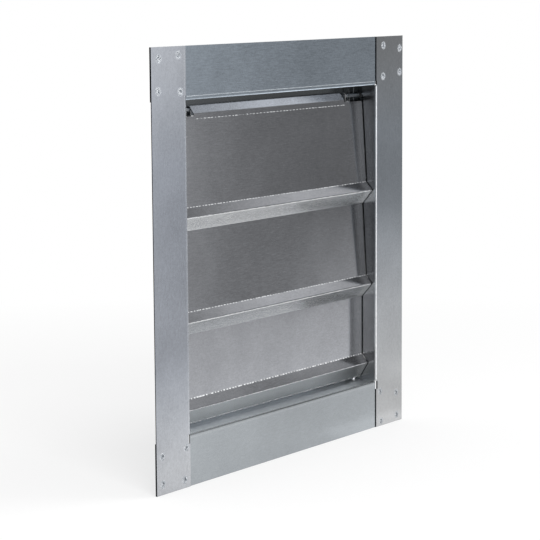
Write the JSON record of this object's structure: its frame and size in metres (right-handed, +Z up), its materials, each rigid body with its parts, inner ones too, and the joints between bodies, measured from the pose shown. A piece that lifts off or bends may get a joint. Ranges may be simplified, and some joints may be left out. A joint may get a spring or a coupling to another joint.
{
  "type": "louvre damper",
  "caption": "Gravity louvre damper: a folded sheet frame with a wide wall flange holds linked V-nosed blades that air from behind swings open and that fall shut.",
  "frame": {"origin": "centre of the overall box, which is also the middle of the air opening", "axes": "+X along the pivots towards the linked side, +Y from the front face into the wall and duct, +Z up"},
  "size_m": [0.66, 0.0486, 0.66],
  "materials": {
    "frame_sheet": "galvanised sheet, fine mottled spangle, as rolled",
    "blade_sheet": "galvanised sheet, fine rolling grain along the blade",
    "zinc_steel": "bright zinc plate",
    "nylon": "moulded black nylon"
  },
  "bodies": {
    "frame": {"left_stile": "frame_sheet", "right_stile": "frame_sheet", "top_rail": "frame_sheet", "bottom_rail": "frame_sheet", "left_bush_1": "nylon", "right_bush_1": "nylon", "left_bush_2": "nylon", "right_bush_2": "nylon", "left_bush_3": "nylon", "right_bush_3": "nylon"},
    "blade_1": {"blade_1": "blade_sheet", "left_bracket_1": "zinc_steel", "right_bracket_1": "zinc_steel", "left_pin_1": "zinc_steel", "right_pin_1": "zinc_steel", "link_pin_1": "zinc_steel"},
    "blade_2": {"blade_2": "blade_sheet", "left_bracket_2": "zinc_steel", "right_bracket_2": "zinc_steel", "left_pin_2": "zinc_steel", "right_pin_2": "zinc_steel", "link_pin_2": "zinc_steel"},
    "blade_3": {"blade_3": "blade_sheet", "left_bracket_3": "zinc_steel", "right_bracket_3": "zinc_steel", "left_pin_3": "zinc_steel", "right_pin_3": "zinc_steel", "link_pin_3": "zinc_steel"},
    "link": {"link_bar": "zinc_steel"}
  },
  "joints": [
    {"name": "blade_1_hinge", "type": "hinge", "parent": "frame", "child": "blade_1", "pos_m": [0, 0.00975, 0.233], "axis": [-1, 0, 0], "range_deg": [0, 75]},
    {"name": "blade_2_hinge", "type": "hinge", "parent": "frame", "child": "blade_2", "pos_m": [0, 0.00975, 0.075], "axis": [-1, 0, 0], "range_deg": [0, 75]},
    {"name": "blade_3_hinge", "type": "hinge", "parent": "frame", "child": "blade_3", "pos_m": [0, 0.00975, -0.083], "axis": [-1, 0, 0], "range_deg": [0, 75]},
    {"name": "link_hinge", "type": "hinge", "parent": "blade_1", "child": "link", "pos_m": [0.2017, 0.01794, 0.22726], "axis": [-1, 0, 0], "range_deg": [-75, 0]}
  ],
  "couplings": [
    {"joint": "blade_2_hinge", "follows": "blade_1_hinge", "ratio": 1},
    {"joint": "blade_3_hinge", "follows": "blade_1_hinge", "ratio": 1},
    {"joint": "link_hinge", "follows": "blade_1_hinge", "ratio": -1}
  ]
}
